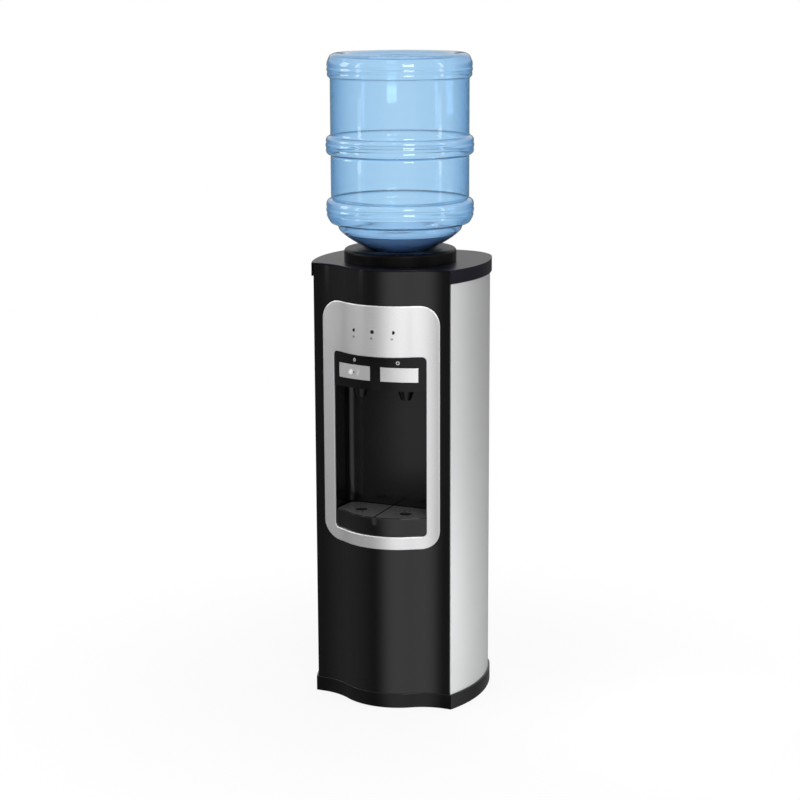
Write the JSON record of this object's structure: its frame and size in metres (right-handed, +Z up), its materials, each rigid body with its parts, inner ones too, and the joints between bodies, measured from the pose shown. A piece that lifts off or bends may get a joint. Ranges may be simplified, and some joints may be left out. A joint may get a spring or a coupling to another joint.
{
  "type": "water cooler",
  "caption": "Floor-standing top-loading water cooler with hot and cold push-button taps, a slide-out drip tray and a lift-off bottle.",
  "frame": {"origin": "on the floor, at the middle of the cooler's bounding box seen from above", "axes": "+X to the user's right as they face the taps, +Y to the back, +Z up"},
  "size_m": [0.319, 0.3179, 1.208],
  "materials": {
    "black_gloss": "high gloss moulded front",
    "black_satin": "fine satin moulding",
    "charcoal_plastic": "fine textured moulding",
    "brushed_silver": "horizontally brushed, satin",
    "button_silver": "fine satin foil",
    "silver_paint": "satin silver coat",
    "black_paint": "semi-matte coat",
    "zinc_steel": "zinc plated",
    "stainless": "drawn stainless sheet",
    "rubber": "soft matte",
    "clear_blue": "clear tinted polycarbonate",
    "cap_blue": "smooth moulding",
    "smoked_lens": "smoked lens",
    "circuit_board": "solder mask",
    "white_plastic": "smooth moulding",
    "white_foam": "beaded foam",
    "copper": "drawn copper tube",
    "phenolic": "moulded phenolic",
    "silicone": "translucent tube",
    "red_plastic": "smooth moulding",
    "green_plastic": "smooth moulding"
  },
  "bodies": {
    "cabinet": {"base_plinth": "black_satin", "rubber_feet": "rubber", "front_panel": "black_gloss", "left_side_panel": "silver_paint", "right_side_panel": "silver_paint", "back_panel": "black_paint", "panel_screws": "zinc_steel", "top_cover": "charcoal_plastic", "bottle_collar": "charcoal_plastic", "water_probe": "white_plastic", "front_bezel": "brushed_silver", "indicator_lenses": "smoked_lens", "indicator_board": "circuit_board", "button_fascia": "black_satin", "hot_spring": "zinc_steel", "cold_spring": "zinc_steel", "hot_faucet": "black_satin", "cold_faucet": "black_satin", "niche_liner": "black_gloss", "upper_shelf": "zinc_steel", "lower_shelf": "zinc_steel", "cold_tank": "stainless", "cold_tank_foam": "white_foam", "water_separator": "white_plastic", "evaporator_coil": "copper", "hot_tank": "stainless", "hot_tank_foam": "white_foam", "heater_band": "stainless", "tank_thermostats": "phenolic", "cold_hose": "silicone", "hot_hose": "silicone", "feed_hose": "silicone", "drain_hose": "silicone", "drain_outlet": "black_satin", "compressor": "black_paint", "compressor_mounts": "rubber", "filter_drier": "copper", "refrigerant_lines": "copper", "condenser": "black_paint", "condenser_clips": "zinc_steel", "control_box": "charcoal_plastic", "switch_plate": "black_satin", "power_inlet": "black_satin"},
    "bottle": {"bottle": "clear_blue", "bottle_cap": "cap_blue"},
    "drip_tray": {"drip_tray": "black_gloss"},
    "drip_grille": {"drip_grille": "charcoal_plastic"},
    "hot_button": {"hot_button": "button_silver", "hot_plunger": "white_plastic"},
    "cold_button": {"cold_button": "button_silver", "cold_plunger": "white_plastic"},
    "hot_lock": {"hot_lock": "white_plastic"},
    "hot_switch": {"hot_switch": "red_plastic"},
    "cold_switch": {"cold_switch": "green_plastic"},
    "drain_cap": {"drain_cap": "black_satin"}
  },
  "joints": [
    {"name": "bottle_lift", "type": "slide", "parent": "cabinet", "child": "bottle", "axis": [0, 0, 1], "range_m": [0, 0.1]},
    {"name": "drip_tray_pull", "type": "slide", "parent": "cabinet", "child": "drip_tray", "axis": [0, -1, 0], "range_m": [0, 0.095]},
    {"name": "drip_grille_lift", "type": "slide", "parent": "drip_tray", "child": "drip_grille", "axis": [0, 0, 1], "range_m": [0, 0.03]},
    {"name": "hot_press", "type": "slide", "parent": "cabinet", "child": "hot_button", "axis": [0, 1, 0], "range_m": [0, 0.004], "stiffness_N_per_m": 400, "deforming": ["hot_spring"]},
    {"name": "cold_press", "type": "slide", "parent": "cabinet", "child": "cold_button", "axis": [0, 1, 0], "range_m": [0, 0.004], "stiffness_N_per_m": 400, "deforming": ["cold_spring"]},
    {"name": "hot_lock_slide", "type": "slide", "parent": "hot_button", "child": "hot_lock", "axis": [0.9655, -0.2605, 0], "range_m": [0, 0.006]},
    {"name": "hot_switch_rock", "type": "hinge", "parent": "cabinet", "child": "hot_switch", "pos_m": [-0.03947, 0.134, 0.19], "axis": [1, 0, 0], "range_deg": [-18, 0]},
    {"name": "cold_switch_rock", "type": "hinge", "parent": "cabinet", "child": "cold_switch", "pos_m": [-0.02047, 0.134, 0.19], "axis": [1, 0, 0], "range_deg": [-18, 0]},
    {"name": "drain_cap_turn", "type": "hinge", "parent": "cabinet", "child": "drain_cap", "pos_m": [0, 0.14, 0.076], "axis": [0, 1, 0], "range_deg": [0, 360]}
  ]
}
